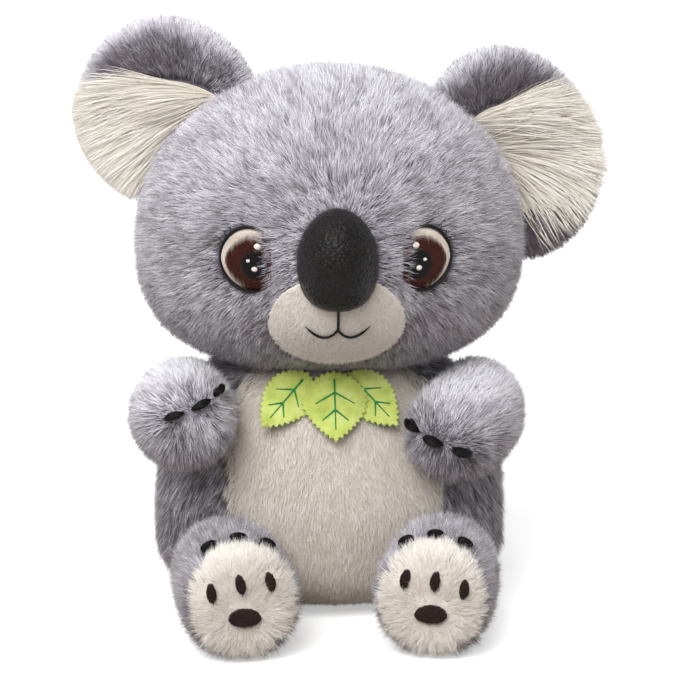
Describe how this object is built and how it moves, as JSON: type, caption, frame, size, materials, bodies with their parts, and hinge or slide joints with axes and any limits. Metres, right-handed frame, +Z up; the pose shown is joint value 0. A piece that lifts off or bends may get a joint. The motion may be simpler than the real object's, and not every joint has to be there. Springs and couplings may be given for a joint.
{
  "type": "plush koala",
  "caption": "Seated plush koala with a stuffed head, floppy fur-lined ears, jointed limbs, embroidered eyes, a leather nose and felt leaves under the chin.",
  "frame": {"origin": "middle of the flat that the body rests on, at table level", "axes": "+Z up, the toy faces -Y, and its own left arm is at +X"},
  "size_m": [0.2406, 0.1962, 0.2659],
  "materials": {
    "grey_plush": "short-pile frosted grey plush with a fluffy nap",
    "white_plush": "short-pile warm white plush",
    "cream_plush": "long-pile cream faux fur",
    "wadding": "loose polyester stuffing",
    "nose_leather": "black grained synthetic leather with a soft sheen",
    "black_thread": "black satin-stitch embroidery",
    "brown_thread": "reddish-brown satin-stitch embroidery",
    "ivory_thread": "ivory satin-stitch embroidery",
    "grey_thread": "dark grey satin-stitch embroidery",
    "green_felt": "yellow-green wool-blend felt with a pinked edge",
    "green_thread": "dark green stitching"
  },
  "bodies": {
    "torso": {"body_cover": "grey_plush", "body_filling": "wadding", "belly_panel": "white_plush", "closing_seam_thread": "grey_thread"},
    "head": {"head_cover": "grey_plush", "head_filling": "wadding", "muzzle_panel": "white_plush", "nose_cover": "nose_leather", "nose_filling": "wadding", "mouth_stitching": "black_thread", "eye_outline_right": "black_thread", "eye_white_right": "ivory_thread", "eye_iris_right": "brown_thread", "eye_pupil_right": "black_thread", "eye_outline_left": "black_thread", "eye_white_left": "ivory_thread", "eye_iris_left": "brown_thread", "eye_pupil_left": "black_thread"},
    "side_leaves": {"leaf_right": "green_felt", "veins_right": "green_thread", "leaf_left": "green_felt", "veins_left": "green_thread"},
    "centre_leaf": {"leaf_centre": "green_felt", "veins_centre": "green_thread"},
    "ear_right": {"ear_cover_right": "grey_plush", "ear_filling_right": "wadding", "ear_lining_right": "cream_plush"},
    "arm_right": {"arm_right_cover": "grey_plush", "arm_right_filling": "wadding", "arm_claw_right_1": "grey_thread", "arm_claw_right_2": "grey_thread", "arm_claw_right_3": "grey_thread"},
    "leg_right": {"leg_right_cover": "grey_plush", "leg_right_filling": "wadding", "sole_right": "white_plush", "pad_mark_right": "grey_thread", "toe_mark_right_1": "grey_thread", "toe_mark_right_2": "grey_thread", "toe_mark_right_3": "grey_thread", "toe_claw_right_1": "grey_thread", "toe_claw_right_2": "grey_thread", "toe_claw_right_3": "grey_thread"},
    "ear_left": {"ear_cover_left": "grey_plush", "ear_filling_left": "wadding", "ear_lining_left": "cream_plush"},
    "arm_left": {"arm_left_cover": "grey_plush", "arm_left_filling": "wadding", "arm_claw_left_1": "grey_thread", "arm_claw_left_2": "grey_thread", "arm_claw_left_3": "grey_thread"},
    "leg_left": {"leg_left_cover": "grey_plush", "leg_left_filling": "wadding", "sole_left": "white_plush", "pad_mark_left": "grey_thread", "toe_mark_left_1": "grey_thread", "toe_mark_left_2": "grey_thread", "toe_mark_left_3": "grey_thread", "toe_claw_left_1": "grey_thread", "toe_claw_left_2": "grey_thread", "toe_claw_left_3": "grey_thread"}
  },
  "joints": [
    {"name": "head_turn", "type": "hinge", "parent": "torso", "child": "head", "pos_m": [0, 0, 0.165], "axis": [0, 0, 1], "range_deg": [-15, 15], "stiffness_Nm_per_rad": 0.3},
    {"name": "ear_right_flop", "type": "hinge", "parent": "head", "child": "ear_right", "pos_m": [-0.0653, 0.00893, 0.21838], "axis": [0.6156, -0.1308, 0.7771], "range_deg": [-12, 12], "stiffness_Nm_per_rad": 0.06},
    {"name": "ear_left_flop", "type": "hinge", "parent": "head", "child": "ear_left", "pos_m": [0.07877, 0.00893, 0.20035], "axis": [0.3978, 0.0846, -0.9135], "range_deg": [-12, 12], "stiffness_Nm_per_rad": 0.06},
    {"name": "arm_right_swing", "type": "hinge", "parent": "torso", "child": "arm_right", "pos_m": [-0.06602, -0.01477, 0.093], "axis": [0, 0, 1], "range_deg": [-30, 5], "stiffness_Nm_per_rad": 0.1},
    {"name": "arm_left_swing", "type": "hinge", "parent": "torso", "child": "arm_left", "pos_m": [0.06602, -0.01477, 0.093], "axis": [0, 0, 1], "range_deg": [-5, 30], "stiffness_Nm_per_rad": 0.1},
    {"name": "leg_right_splay", "type": "hinge", "parent": "torso", "child": "leg_right", "pos_m": [-0.0504, -0.05035, 0.025], "axis": [0, 0, 1], "range_deg": [-20, 8], "stiffness_Nm_per_rad": 0.1},
    {"name": "leg_left_splay", "type": "hinge", "parent": "torso", "child": "leg_left", "pos_m": [0.0504, -0.05035, 0.025], "axis": [0, 0, 1], "range_deg": [-8, 20], "stiffness_Nm_per_rad": 0.1},
    {"name": "side_leaves_lift", "type": "hinge", "parent": "torso", "child": "side_leaves", "pos_m": [0, -0.04325, 0.1105], "axis": [-1, 0, 0], "range_deg": [0, 12], "stiffness_Nm_per_rad": 0.004},
    {"name": "centre_leaf_lift", "type": "hinge", "parent": "side_leaves", "child": "centre_leaf", "pos_m": [0, -0.04325, 0.1105], "axis": [-1, 0, 0], "range_deg": [0, 8], "stiffness_Nm_per_rad": 0.003}
  ]
}
